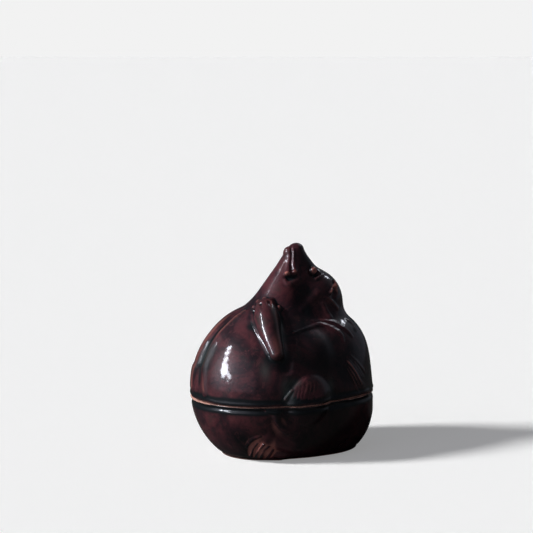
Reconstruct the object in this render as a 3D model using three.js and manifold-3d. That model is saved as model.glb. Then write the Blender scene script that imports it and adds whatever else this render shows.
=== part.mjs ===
// A two-piece glazed incense container in the shape of a seated animal, drumming on its round belly
// with its head thrown back. The box below the seam holds the incense. The lid above it is the rest
// of the animal, hollow up into the neck, and lifts off a plain upstanding rim.
// Millimetres, +Z up. The animal faces -X and its left side is towards -Y. The origin is on the table
// under the middle of the figure.

import * as THREE from 'three';
import { mergeVertices } from 'three/addons/utils/BufferGeometryUtils.js';
import Module from 'manifold-3d';

const wasm = await Module();
wasm.setup();

// Driving dimensions.
const FIGURE_HEIGHT = 75; // the height that the free form below is written for
const SEAM_HEIGHT = 21.2; // table to the middle of the gap between box and lid
const SEAM_GAP = 0.3; // between the box's seat and the lid's mouth
const LID_RIM = 2.5; // thickness of the lid's mouth, outside the box's rim
const RIM_CLEARANCE = 0.4; // all round, between the box's rim and the lid's mouth
const RIM_WALL = 2; // thickness of the box's upstanding rim
const RIM_HEIGHT = 3; // how far that rim stands above the seam
const RIM_HEADROOM = 0.5; // above the rim, under the lid's inner ledge
const LID_WALL = 4.6; // behind the lid's smooth outside
const FLOOR = 4.5; // thickness of the box's floor
const WELL_CORNER = 6; // rounding between the well's wall and its floor

// How finely the free form is divided.
const COLUMNS = 54;
const LID_ROWS = 31;
const BOX_ROWS = 12;
const ARM_ROWS = 12;
const ARM_COLUMNS = 10;
const HOLLOW_COLUMNS = 28;
const HOLLOW_ROWS = 10;
const STUB_COLUMNS = 7;
const STUB_RINGS = 2;
const LEFT_SIDE_DENSITY = 0.3; // columns are this share closer together on the carved side

// The free form is written in shares of the figure's height: one unit is a seventy-fifth of it.
const UNIT = FIGURE_HEIGHT / 75;
const REACH = 60 * UNIT; // rays start this far out, clear of the figure
const CHEST = 52 * UNIT; // the rays' middle line leans up to here
const SNOUT_BASE = 66 * UNIT; // the last ring's rays start here, and the tip is straight above it
const HOLLOW_TOP = 51 * UNIT; // the same for the lid's hollow
const LEAN = 7; // of that middle line towards the back, in units, at the chest
const SEAT_LEAN = 4; // and at the table
const OVERRUN = 1; // how far a cutting form runs past the face that it cuts

const boxWall = LID_RIM + RIM_CLEARANCE + RIM_WALL;
const boxTop = SEAM_HEIGHT - SEAM_GAP / 2;
const lidBottom = SEAM_HEIGHT + SEAM_GAP / 2;
const rimTop = SEAM_HEIGHT + RIM_HEIGHT;

// Distance to simple forms: negative inside, in the form's own units.

function egg([cx, cy, cz], [rx, ry, rz]) {
  return ([px, py, pz]) => {
    const [x, y, z] = [(px - cx) / rx, (py - cy) / ry, (pz - cz) / rz];
    const near = Math.sqrt(x * x + y * y + z * z);
    const [u, v, w] = [x / rx, y / ry, z / rz];
    const slope = Math.sqrt(u * u + v * v + w * w) || 1e-9;
    return (near * (near - 1)) / slope;
  };
}

function cone([ax, ay, az], [bx, by, bz], radiusA, radiusB) {
  const [ux, uy, uz] = [bx - ax, by - ay, bz - az];
  const length2 = ux * ux + uy * uy + uz * uz;
  return ([px, py, pz]) => {
    const [x, y, z] = [px - ax, py - ay, pz - az];
    const t = Math.min(Math.max((x * ux + y * uy + z * uz) / length2, 0), 1);
    const [gx, gy, gz] = [x - t * ux, y - t * uy, z - t * uz];
    return Math.sqrt(gx * gx + gy * gy + gz * gz) - radiusA - t * (radiusB - radiusA);
  };
}

// A smooth line through points, and a radius that changes evenly from each point to the next.
function limbLine(points, radii) {
  const line = new THREE.CatmullRomCurve3(points.map((p) => new THREE.Vector3(...p)), false, 'catmullrom');
  const radiusAt = (t) => {
    const place = Math.min(t * (radii.length - 1), radii.length - 1 - 1e-9);
    const i = Math.floor(place);
    return THREE.MathUtils.lerp(radii[i], radii[i + 1], place - i);
  };
  return { line, radiusAt };
}

// A limb: a round section that changes along such a line.
function limb(points, radii, steps = 4) {
  const { line, radiusAt } = limbLine(points, radii);
  const count = steps * (points.length - 1);
  const pieces = [];
  for (let i = 0; i < count; i += 1) {
    const [from, to] = [i / count, (i + 1) / count];
    const [start, end] = [line.getPoint(from).toArray(), line.getPoint(to).toArray()];
    pieces.push(cone(start, end, radiusAt(from), radiusAt(to)));
  }
  return (p) => {
    let nearest = Infinity;
    for (const piece of pieces) nearest = Math.min(nearest, piece(p));
    return nearest;
  };
}

function softMin(a, b, soft) {
  const h = Math.max(soft - Math.abs(a - b), 0) / soft;
  return Math.min(a, b) - (h * h * soft) / 4;
}

const join = (a, b, soft) => (p) => softMin(a(p), b(p), soft);
const carve = (a, b, soft) => (p) => -softMin(-a(p), b(p), soft);
const mirrored = (form) => (p) => form([p[0], -p[1], p[2]]);

// The animal.

function smoothBody() {
  let form = egg([-8, 0, 23.3], [26.2, 25.2, 27.9]); // belly
  form = join(form, egg([10.7, 0, 19.6], [24.1, 23.6, 28]), 10); // back
  form = join(form, egg([14, -1, 10.5], [19, 16.5, 12.5]), 5); // seat
  form = join(form, egg([12.8, 0, 36], [19, 17.5, 15.5]), 8); // shoulders
  form = join(form, cone([-3, 0, 45], [4.9, 0, 70.8], 13.2, 3), 7); // throat and jaw
  form = join(form, egg([12.5, 0, 52.5], [11.5, 10.5, 12.5]), 4); // skull
  return join(form, cone([10.5, 0, 57.5], [6.2, 0, 72.2], 8.1, 1.9), 2.5); // bridge of the snout
}

// The left arm's upper half. Its forearm is a piece of its own below, because it stands free of the fold.
function upperArm(body) {
  let form = join(body, egg([2.4, -10.9, 33.9], [12.2, 12.2, 12.8]), 1.2);
  form = carve(form, limb([[-7, -12.5, 50.5], [-7.6, -17.3, 45.8], [-8.6, -21, 40.5], [-10.2, -22.6, 37]],
    [1, 1.5, 1.7, 1.6]), 1.6); // the fold between upper arm and forearm
  return carve(form, egg([-11.8, -23.4, 35.4], [2.6, 1.9, 2.6]), 1.4); // the pit under the elbow
}

function lowArm(body) {
  const line = [[4, 12, 41], [-5, 9.5, 45.5], [-15.5, 6.5, 44], [-23.8, 5, 37.6], [-28.2, 4.4, 30.5]];
  return join(body, limb(line, [7, 6.4, 6.2, 5.9, 5.2]), 1.2);
}

function leg(body) {
  let form = join(body, egg([1.2, -18.6, 14], [18.5, 7.2, 13.2]), 1.2); // haunch
  form = join(form, egg([-3.6, -19.4, 22.5], [11.3, 8.3, 11.5]), 1.2); // knee
  const instep = [[-14.6, -19.4, 13.4], [-16.6, -17.4, 9.8], [-16.2, -14.4, 5.6]];
  form = join(form, limb(instep, [2.6, 3.2, 3.2]), 1);
  const heel = [[-13.4, -13.6, 3.4], [-9, -16.8, 3.6], [-4.4, -18.4, 4.6]];
  return join(form, limb(heel, [2.6, 3, 2.4]), 1);
}

function tail(body) {
  return join(body, limb([[29, 4, 6], [28, -7, 11], [25.2, -12.6, 16.6], [20.6, -17, 22.2], [17.2, -19, 28.2],
    [14.6, -20.6, 33.4]], [4, 4.6, 4.5, 4, 2.8, 1.1]), 0.9);
}

const smooth = smoothBody();
const animal = tail(upperArm(mirrored(leg(mirrored(leg(lowArm(smooth)))))));

// The raised forearm, from the elbow up to the paw on the throat.
const FOREARM = {
  points: [[-14, -19.8, 38.8], [-13.6, -15.4, 44], [-12.2, -10, 49.6], [-10.4, -6.6, 52.6]],
  radii: [2.6, 3.6, 4.4, 4],
};

// Short round-ended pieces: [root, tip, radius at the root, radius at the tip].
const RAISED_FINGERS = [
  [[-12.4, -5.2, 52], [-13.1, -3.4, 53], 1.5, 1.15],
  [[-11.3, -5.4, 53.3], [-11.6, -3.7, 54.9], 1.5, 1.15],
  [[-9.9, -6, 53.8], [-9.8, -4.6, 55.7], 1.5, 1.15],
  [[-8.5, -7.3, 53.6], [-8.2, -6.2, 55.5], 1.5, 1.15],
];

// These lie on the smooth body: [root, tip, radius at the root, radius at the tip, how far they stand proud].
const TOES = [
  [[-18.8, -17, 7.6], [-19.4, -11, 2.2], 1.15, 1.15, 0.8],
  [[-17.2, -17.3, 6.9], [-17.7, -11.6, 1.7], 1.15, 1.15, 0.8],
  [[-15.6, -17.2, 5.9], [-16, -12.4, 1.4], 1.15, 1.15, 0.8],
  [[-13.8, -17, 4.6], [-14.1, -13.4, 1.4], 1.15, 1.15, 0.8],
];
const LOW_FINGERS = [0, 1, 2, 3].map((i) => {
  const y = 3 * i - 0.6;
  return [[-31, y, 31], [-32, 1.06 * y - 0.2, 25.4], 1.6, 1.25, 0.8];
});
// On one side of the head; the other side is its mirror image.
const FACE = [
  [[4.4, -1.6, 72.2], [2.6, -4.9, 65.6], 0.9, 1, 0.35], // lip
  [[-3, -2.9, 64], [-1, -6.2, 61], 0.8, 1, 0.4], // corner of the jaw
  [[-1, -6.2, 61], [6.2, -5.7, 63], 1, 0.8, 0.4],
  [[10.1, -4.8, 65], [10.2, -5, 65], 1.4, 1.4, 0.8], // eye
  [[9.6, -6.7, 62.4], [13.8, -5.1, 63.3], 0.8, 0.8, 0.4], // fold under the eye
  [[17.6, -5.9, 60.2], [15.6, -8.8, 57], 1.4, 1.2, 0.7], // ear
];
const MOUTH = [[2.8, -0.5, 73.6], [1.1, -5.3, 65], 0.5, 0.7, 0.1];
const EAR_HOLLOW = [[16.2, -10, 56.9], [15.7, -10.2, 55.2], 1.4, 1.2, 0.3];

// Moves a point to where a round form of that radius stands proud of the smooth body by that much.
function settled(point, radius, proud) {
  const small = 0.05;
  const slope = point.map((value, i) => {
    const ahead = point.map((other, j) => other + (i === j ? small : 0));
    const behind = point.map((other, j) => other - (i === j ? small : 0));
    return smooth(ahead) - smooth(behind);
  });
  const length = Math.hypot(...slope);
  const depth = smooth(point) + radius - proud;
  return point.map((value, i) => value - (slope[i] / length) * depth);
}

const onBody = ([root, tip, rootRadius, tipRadius, proud]) => [
  settled(root, rootRadius, proud),
  settled(tip, tipRadius, proud),
  rootRadius,
  tipRadius,
];

// From forms to solids.

function toSolid(geometry) {
  const bare = geometry.clone();
  bare.deleteAttribute('normal');
  bare.deleteAttribute('uv');
  const merged = mergeVertices(bare);
  const index = merged.index.array;
  const kept = [];
  for (let i = 0; i < index.length; i += 3) {
    const [a, b, c] = index.slice(i, i + 3);
    if (a !== b && b !== c && c !== a) kept.push(a, b, c);
  }
  const mesh = new wasm.Mesh({
    numProp: 3,
    vertProperties: new Float32Array(merged.attributes.position.array),
    triVerts: new Uint32Array(kept),
  });
  mesh.merge();
  return new wasm.Manifold(mesh);
}

function toGeometry(solid) {
  const mesh = solid.getMesh();
  const geometry = new THREE.BufferGeometry();
  geometry.setAttribute('position', new THREE.BufferAttribute(mesh.vertProperties, 3));
  geometry.setIndex(new THREE.BufferAttribute(mesh.triVerts, 1));
  geometry.computeVertexNormals();
  return geometry;
}

// The last place along a ray from inside the form where the form ends.
function edgeAlong(form, origin, direction) {
  const [x, y, z] = origin;
  const [u, v, w] = direction;
  const at = (t) => form([x + t * u, y + t * v, z + t * w]);
  const step = 0.4;
  let t = REACH;
  while (t > step && at(t) > 0) t -= Math.max(step, 0.7 * at(t));
  let [inside, outside] = [Math.max(t, 0), t + 2 * step];
  while (at(outside) < 0) outside += step;
  for (let i = 0; i < 24; i += 1) {
    const middle = (inside + outside) / 2;
    if (at(middle) < 0) inside = middle;
    else outside = middle;
  }
  return [x + inside * u, y + inside * v, z + inside * w];
}

// A closed skin through rings of points, listed upwards, with a point that closes each end.
function closedSkin(bottom, rings, top) {
  const positions = [bottom, ...rings.flat(), top].flat();
  const columns = rings[0].length;
  const at = (ring, column) => 1 + ring * columns + (column % columns);
  const last = 1 + rings.length * columns;
  const index = [];
  for (let j = 0; j < columns; j += 1) {
    index.push(0, at(0, j + 1), at(0, j));
    for (let i = 0; i + 1 < rings.length; i += 1) {
      index.push(at(i, j), at(i, j + 1), at(i + 1, j + 1));
      index.push(at(i, j), at(i + 1, j + 1), at(i + 1, j));
    }
    index.push(last, at(rings.length - 1, j), at(rings.length - 1, j + 1));
  }
  const geometry = new THREE.BufferGeometry();
  geometry.setAttribute('position', new THREE.Float32BufferAttribute(positions, 3));
  geometry.setIndex(index);
  return geometry;
}

// Column directions round the figure, closer together on its carved left side.
function columnAngles(count, density = 0) {
  const left = -0.55 * Math.PI;
  return Array.from({ length: count }, (_, i) => {
    const even = (2 * Math.PI * i) / count;
    return even - density * Math.sin(even - left);
  });
}

// One ring: where rays from an origin, raised by an elevation, leave the form.
function ring(form, origin, elevation, angles) {
  return angles.map((angle) => edgeAlong(form, origin, [
    Math.cos(angle) * Math.cos(elevation),
    Math.sin(angle) * Math.cos(elevation),
    Math.sin(elevation),
  ]));
}

// The line inside the figure that rays start from leans with the seat, and then with the neck.
function spine(height) {
  const low = SEAT_LEAN * (1 - Math.min(height / SEAM_HEIGHT, 1));
  const high = LEAN * THREE.MathUtils.smoothstep(height, SEAM_HEIGHT, CHEST);
  return [(low + high) * UNIT, 0, height];
}

const inFigure = (form) => ([x, y, z]) => form([x / UNIT, y / UNIT, z / UNIT]) * UNIT;
const outside = inFigure(animal);
const plain = inFigure(smooth);

// Rings from a flat lower edge to a rounded top.
function dome(form, from, to, count, angles) {
  const rings = [];
  for (let i = 0; i < count; i += 1) {
    const t = i / count;
    const lift = 35 * THREE.MathUtils.smoothstep(t, 0, 0.4) + 55 * THREE.MathUtils.smoothstep(t, 0.72, 1.02);
    rings.push(ring(form, spine(from + (to - from) * t), THREE.MathUtils.degToRad(lift), angles));
  }
  const top = edgeAlong(form, spine(to), [0, 0, 1]);
  return closedSkin(spine(from), rings, top);
}

// Rings at even heights between two flat ends.
function drum(form, from, to, count, angles) {
  const rings = [];
  for (let i = 0; i <= count; i += 1) {
    rings.push(ring(form, spine(from + ((to - from) * i) / count), 0, angles));
  }
  return closedSkin(spine(from), rings, spine(to));
}

// The outline of the smooth body at the seam, drawn in by a distance and raised between two heights.
function seamPrism(inset, from, to, count) {
  const section = (p) => plain([p[0], p[1], SEAM_HEIGHT]) + inset;
  const outline = ring(section, [0, 0, SEAM_HEIGHT], 0, columnAngles(count));
  const shape = new THREE.Shape(outline.map(([x, y]) => new THREE.Vector2(x, y)));
  const geometry = new THREE.ExtrudeGeometry(shape, { depth: to - from, bevelEnabled: false });
  return toSolid(geometry.translate(0, 0, from));
}

// A short round-ended piece, such as a toe, turned from its half profile.
function stub([root, tip, rootRadius, tipRadius], side = 1) {
  const place = ([x, y, z]) => new THREE.Vector3(x, side * y, z).multiplyScalar(UNIT);
  const [start, end] = [place(root), place(tip)];
  const length = start.distanceTo(end);
  const profile = [];
  for (let i = 0; i <= STUB_RINGS; i += 1) {
    const turn = (Math.PI * i) / (2 * STUB_RINGS);
    const [out, back] = [rootRadius * Math.sin(turn), -rootRadius * Math.cos(turn)];
    profile.push(new THREE.Vector2(out * UNIT, back * UNIT));
  }
  for (let i = 0; i <= STUB_RINGS; i += 1) {
    const turn = (Math.PI * i) / (2 * STUB_RINGS);
    const [out, ahead] = [tipRadius * Math.cos(turn), tipRadius * Math.sin(turn)];
    profile.push(new THREE.Vector2(out * UNIT, length + ahead * UNIT));
  }
  profile[0].x = 0;
  profile[profile.length - 1].x = 0;
  const geometry = new THREE.LatheGeometry(profile, STUB_COLUMNS);
  const up = new THREE.Vector3(0, 1, 0);
  geometry.applyQuaternion(new THREE.Quaternion().setFromUnitVectors(up, end.clone().sub(start).normalize()));
  return toSolid(geometry.translate(start.x, start.y, start.z));
}

// A limb as a solid of its own, with rounded ends.
function limbSolid({ points, radii }, rows, columns) {
  const { line, radiusAt } = limbLine(points, radii);
  const rings = [];
  const ringAt = (t, shift, share) => {
    const ahead = line.getTangent(t);
    const across = new THREE.Vector3(0, 0, 1).cross(ahead).normalize();
    const upward = ahead.clone().cross(across);
    const centre = line.getPoint(t).addScaledVector(ahead, shift);
    return Array.from({ length: columns }, (_, j) => {
      const turn = (2 * Math.PI * j) / columns;
      const offset = across.clone().multiplyScalar(Math.cos(turn)).addScaledVector(upward, Math.sin(turn));
      return centre.clone().addScaledVector(offset, share * radiusAt(t)).multiplyScalar(UNIT).toArray();
    });
  };
  const roundings = [Math.PI / 4, Math.PI / 12];
  for (const turn of roundings) rings.push(ringAt(0, -Math.sin(turn) * radiusAt(0), Math.cos(turn)));
  for (let i = 0; i <= rows; i += 1) rings.push(ringAt(i / rows, 0, 1));
  for (const turn of roundings.reverse()) rings.push(ringAt(1, Math.sin(turn) * radiusAt(1), Math.cos(turn)));
  const end = (t, side) => line.getPoint(t).addScaledVector(line.getTangent(t), side * radiusAt(t));
  const pole = (t, side) => end(t, side).multiplyScalar(UNIT).toArray();
  return toSolid(closedSkin(pole(0, -1), rings, pole(1, 1)));
}

// The lid: outside, less its hollow and the recess that the box's rim stands in.
function lidSolid() {
  const angles = columnAngles(COLUMNS, LEFT_SIDE_DENSITY);
  let solid = toSolid(dome(outside, lidBottom, SNOUT_BASE, LID_ROWS, angles));
  solid = solid.add(limbSolid(FOREARM, ARM_ROWS, ARM_COLUMNS));
  for (const finger of [...RAISED_FINGERS, ...LOW_FINGERS.map(onBody)]) solid = solid.add(stub(finger));
  for (const side of [1, -1]) {
    for (const piece of FACE) solid = solid.add(stub(onBody(piece), side));
    solid = solid.subtract(stub(onBody(MOUTH), side));
    solid = solid.subtract(stub(onBody(EAR_HOLLOW), side));
  }
  const within = (p) => plain(p) + LID_WALL;
  const hollow = dome(within, lidBottom - OVERRUN, HOLLOW_TOP, HOLLOW_ROWS, columnAngles(HOLLOW_COLUMNS));
  solid = solid.subtract(toSolid(hollow));
  return solid.subtract(seamPrism(LID_RIM, lidBottom - OVERRUN, rimTop + RIM_HEADROOM, COLUMNS));
}

// The well: the box's wall thickness in from the outside, upright through the rim, rounded to its floor.
function wellSolid() {
  const wall = (p) => plain([p[0], p[1], Math.min(p[2], SEAM_HEIGHT)]) + boxWall;
  const well = (p) => -softMin(-wall(p), p[2] - FLOOR, WELL_CORNER);
  const angles = columnAngles(HOLLOW_COLUMNS);
  const centre = [(SEAT_LEAN / 2) * UNIT, 0, SEAM_HEIGHT];
  const top = [centre[0], 0, rimTop + OVERRUN];
  const rings = [];
  for (let i = 1; i < HOLLOW_ROWS; i += 1) {
    rings.push(ring(well, centre, (-Math.PI / 2) * (1 - i / HOLLOW_ROWS), angles));
  }
  rings.push(ring(well, centre, 0, angles), ring(well, top, 0, angles));
  const bottom = edgeAlong(well, centre, [0, 0, -1]);
  return toSolid(closedSkin(bottom, rings, top));
}

function boxSolid() {
  const angles = columnAngles(COLUMNS, LEFT_SIDE_DENSITY);
  let solid = toSolid(drum(outside, 0, boxTop, BOX_ROWS, angles));
  for (const side of [1, -1]) {
    for (const toe of TOES) solid = solid.add(stub(onBody(toe), side));
  }
  const table = new THREE.BoxGeometry(2 * REACH, 2 * REACH, REACH).translate(0, 0, -REACH / 2);
  solid = solid.subtract(toSolid(table)); // toes end level with the underside
  solid = solid.add(seamPrism(LID_RIM + RIM_CLEARANCE, boxTop - FLOOR, rimTop, COLUMNS));
  return solid.subtract(wellSolid());
}

function part(name, solid) {
  const glaze = new THREE.MeshStandardMaterial({ color: '#4a2b2b', roughness: 0.14, metalness: 0 });
  const mesh = new THREE.Mesh(toGeometry(solid), glaze);
  mesh.name = name;
  return mesh;
}

const box = part('box', boxSolid());
const lid = part('lid', lidSolid());

const container = new THREE.Group();
container.add(box, lid);
const bounds = new THREE.Box3().setFromObject(container);
const middle = bounds.getCenter(new THREE.Vector3());
container.position.set(-middle.x, -middle.y, 0);

export default container;
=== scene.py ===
import bpy
import numpy as np
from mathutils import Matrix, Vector


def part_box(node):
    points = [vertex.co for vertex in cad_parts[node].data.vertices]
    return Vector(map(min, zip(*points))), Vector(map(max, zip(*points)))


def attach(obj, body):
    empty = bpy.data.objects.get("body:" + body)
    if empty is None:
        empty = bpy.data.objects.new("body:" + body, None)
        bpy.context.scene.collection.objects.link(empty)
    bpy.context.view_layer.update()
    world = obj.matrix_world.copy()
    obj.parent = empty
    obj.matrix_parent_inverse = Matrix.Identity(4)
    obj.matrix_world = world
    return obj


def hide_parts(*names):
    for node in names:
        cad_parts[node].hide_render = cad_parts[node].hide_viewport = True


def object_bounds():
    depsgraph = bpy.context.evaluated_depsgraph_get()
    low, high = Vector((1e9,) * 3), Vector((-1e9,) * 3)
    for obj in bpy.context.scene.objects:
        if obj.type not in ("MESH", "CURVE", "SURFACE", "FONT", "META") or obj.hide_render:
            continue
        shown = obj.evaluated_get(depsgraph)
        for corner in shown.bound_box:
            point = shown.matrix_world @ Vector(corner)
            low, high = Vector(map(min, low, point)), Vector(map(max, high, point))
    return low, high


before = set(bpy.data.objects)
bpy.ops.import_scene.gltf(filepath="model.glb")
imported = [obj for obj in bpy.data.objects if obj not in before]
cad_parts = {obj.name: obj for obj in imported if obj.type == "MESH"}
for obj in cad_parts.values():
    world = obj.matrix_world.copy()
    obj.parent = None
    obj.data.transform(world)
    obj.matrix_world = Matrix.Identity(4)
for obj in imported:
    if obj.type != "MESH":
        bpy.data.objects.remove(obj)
cad_low, cad_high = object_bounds()
lid_low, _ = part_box("lid")
box_low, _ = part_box("box")

# Sizes in the form's units.
FORM_SEAM = 21.2
SEAM_GAP = 0.3
GAP_SHOWN = 0.12  # between the two bare clay edges
MOUTH_WALL = 2.5  # the lid's mouth, outside the box's rim
RIM_CLEARANCE = 0.4
RIM_WALL = 2.0
RIM_HEIGHT = 3.0
HEADROOM = 0.5  # between the rim's top and the lid's ledge
LID_WALL = 4.6
FLOOR = 4.5
WELL_CORNER = 6.0
WELL_MIDDLE = (2.0, 0.0, FORM_SEAM)
BASE_MIDDLE = (4.0, 0.0, 0.0)
BOX_WALL = MOUTH_WALL + RIM_CLEARANCE + RIM_WALL
EDGE_ROUND = 0.25  # on the clay edges at the seam and the rim
FOOT_ROUND = 0.5
SEAT_ROUND = 0.4  # where the rim rises from the seat
FIRST_SHARE = 0.3  # of a round edge's radius, at which its first row lies

# Mesh density. The columns stand closer together on the side that faces the camera.
LID_ROWS = 262
LID_COLUMNS = 310
BOX_ROWS = 110
BOX_COLUMNS = 400
INSIDE_ROWS = 20
TRIAL_ROWS = 90
TRIAL_COLUMNS = 12
STROKE_STEPS = 5  # points on a stroke for each one given
LEFT_SIDE = -0.55 * np.pi
LEFT_SIDE_DENSITY = 0.35

# Where the rays of each ring start, in the form's units.
SPINE_FOOT = 4.0  # how far towards the back at the base
SPINE_LEAN = 7.0  # and at the head
SPINE_RISE = 32.0  # from the seam to the full lean
SNOUT_RING = 66.0  # where the rays to the snout's tip start, nearly straight up
HOLLOW_RING = 51.0
HOLLOW_LIFT = 84  # of the hollow's last ring, in degrees

# How a ray is followed in from outside.
REACH = 60.0  # how far out it starts
NEAR = 4.0  # forms are only worked out within this distance of themselves
RAY_STEPS = 60
STEP_SHARE = 0.8
LONGEST_ON = 0.6 * NEAR
LONGEST_BACK = 0.6  # where it has gone too far in
CLOSE_ENOUGH = 0.004
SLOPE_STEP = 0.05


# Forms: each has a low and a high corner, and gives distances that are negative inside

class Egg:
    """An upright ellipsoid."""

    def __init__(self, centre, radii):
        self.centre = np.array(centre, float)
        self.radii = np.array(radii, float)
        self.low = self.centre - self.radii
        self.high = self.centre + self.radii

    def distance(self, p):
        q = (p - self.centre) / self.radii
        near = np.sqrt((q * q).sum(1))
        slope = np.sqrt(((q / self.radii) ** 2).sum(1)) + 1e-9
        return near * (near - 1) / slope

    def mirrored(self):
        return Egg(self.centre * (1, -1, 1), self.radii)


class Limb:
    """A round section that changes along a smooth line through points."""

    def __init__(self, points, radii, steps=6):
        self.given = (points, radii, steps)
        v = np.column_stack([np.array(points, float), np.array(radii, float)])
        if len(v) > 2:
            v = smooth_line(v, steps)
        self.points = v[:, :3]
        self.radii = v[:, 3]
        self.low = self.points.min(0) - self.radii.max()
        self.high = self.points.max(0) + self.radii.max()

    def distance(self, p):
        nearest = np.full(len(p), np.inf)
        for a, b, ra, rb in zip(self.points, self.points[1:], self.radii, self.radii[1:]):
            along = b - a
            t = np.clip((p - a) @ along / (along @ along + 1e-12), 0, 1)
            off = p - a - t[:, None] * along
            np.minimum(nearest, np.sqrt((off * off).sum(1)) - ra - t * (rb - ra), out=nearest)
        return nearest

    def mirrored(self):
        points, radii, steps = self.given
        return Limb([(x, -y, z) for x, y, z in points], radii, steps)


def smooth_line(v, steps):
    """Rows of values along a Catmull-Rom line through the given rows."""
    v = np.asarray(v, float)
    last = len(v) - 1
    out = []
    for i in range(last):
        a = v[max(i - 1, 0)]
        b = v[i]
        c = v[i + 1]
        d = v[min(i + 2, last)]
        for s in range(steps):
            t = s / steps
            bend = (2 * a - 5 * b + 4 * c - d) * t ** 2
            twist = (3 * b - a - 3 * c + d) * t ** 3
            out.append(0.5 * (2 * b + (c - a) * t + bend + twist))
    out.append(v[-1])
    return np.array(out)


def soft_min(a, b, soft):
    """The smaller of two distances, rounded where they are within soft of each other."""
    h = np.maximum(soft - np.abs(a - b), 0) / soft
    return np.minimum(a, b) - h * h * soft / 4


def smooth_body(p):
    """Distance from the body without its limbs."""
    d = Egg((-8, 0, 23.3), (26.2, 25.2, 27.9)).distance(p)  # belly
    d = soft_min(d, Egg((10.7, 0, 19.6), (24.1, 23.6, 28)).distance(p), 10)  # back
    d = soft_min(d, Egg((14, -1, 10.5), (19, 16.5, 12.5)).distance(p), 5)  # seat
    d = soft_min(d, Egg((12.8, 0, 36), (19, 17.5, 15.5)).distance(p), 8)  # shoulders
    d = soft_min(d, Limb([(-3, 0, 45), (4.9, 0, 70.8)], [13.2, 3]).distance(p), 7)  # throat and jaw
    d = soft_min(d, Egg((12.5, 0, 52.5), (11.5, 10.5, 12.5)).distance(p), 4)  # skull
    snout = Limb([(10.5, 0, 57.5), (6.2, 0, 72.2)], [8.1, 1.9])
    return soft_min(d, snout.distance(p), 2.5)


class Sculpt:
    """The smooth body with forms joined on (+) and carved out (-), in order."""

    def __init__(self):
        self.steps = []

    def join(self, form, soft):
        self.steps.append((1, form, soft))

    def carve(self, form, soft):
        self.steps.append((-1, form, soft))

    def both_sides(self, sign, form, soft):
        self.steps.append((sign, form, soft))
        self.steps.append((sign, form.mirrored(), soft))

    def distance(self, p):
        d = smooth_body(p)
        for sign, form, soft in self.steps:
            near = np.nonzero(np.all((p > form.low - NEAR) & (p < form.high + NEAR), 1))[0]
            if len(near):
                d[near] = sign * soft_min(sign * d[near], form.distance(p[near]), soft)
        return d


def slope_of(distance, p):
    """The way out of a form at some points."""
    steps = np.eye(3) * SLOPE_STEP
    g = np.column_stack([distance(p + s) - distance(p - s) for s in steps])
    return g / (np.linalg.norm(g, axis=1, keepdims=True) + 1e-12)


def settled(distance, points, radii, proud):
    """Moves points to where round forms of those radii stand proud of a surface by that much."""
    p = np.array(points, float)
    for _ in range(2):
        p = p - slope_of(distance, p) * distance(p)[:, None]
    return p - slope_of(distance, p) * (np.array(radii, float) - proud)[:, None]


class Stroke(Limb):
    """A limb that already has its points and radii."""

    def __init__(self, points, radii):
        self.points = points
        self.radii = radii
        self.low = points.min(0) - radii.max()
        self.high = points.max(0) + radii.max()

    def mirrored(self):
        return Stroke(self.points * (1, -1, 1), self.radii)


def follow(sculpt, points, radii, proud, tapering=False):
    """A stroke along the surface, standing proud by an amount, or by less where it tapers."""
    line = smooth_line(np.column_stack([points, np.broadcast_to(radii, len(points))]), STROKE_STEPS)
    share = line[:, 3] / line[:, 3].max() if tapering else 1.0
    return Stroke(settled(sculpt.distance, line[:, :3], line[:, 3], proud * share), line[:, 3])


def ridge(sculpt, points, radii, proud, soft):
    return [(1, follow(sculpt, points, radii, proud, tapering=True), soft)]


def groove(sculpt, points, radii, depth, soft):
    return [(-1, follow(sculpt, points, radii, 2 * np.max(radii) - depth), soft)]


def on_both_sides(steps):
    return steps + [(sign, form.mirrored(), soft) for sign, form, soft in steps]


# The animal

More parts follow.
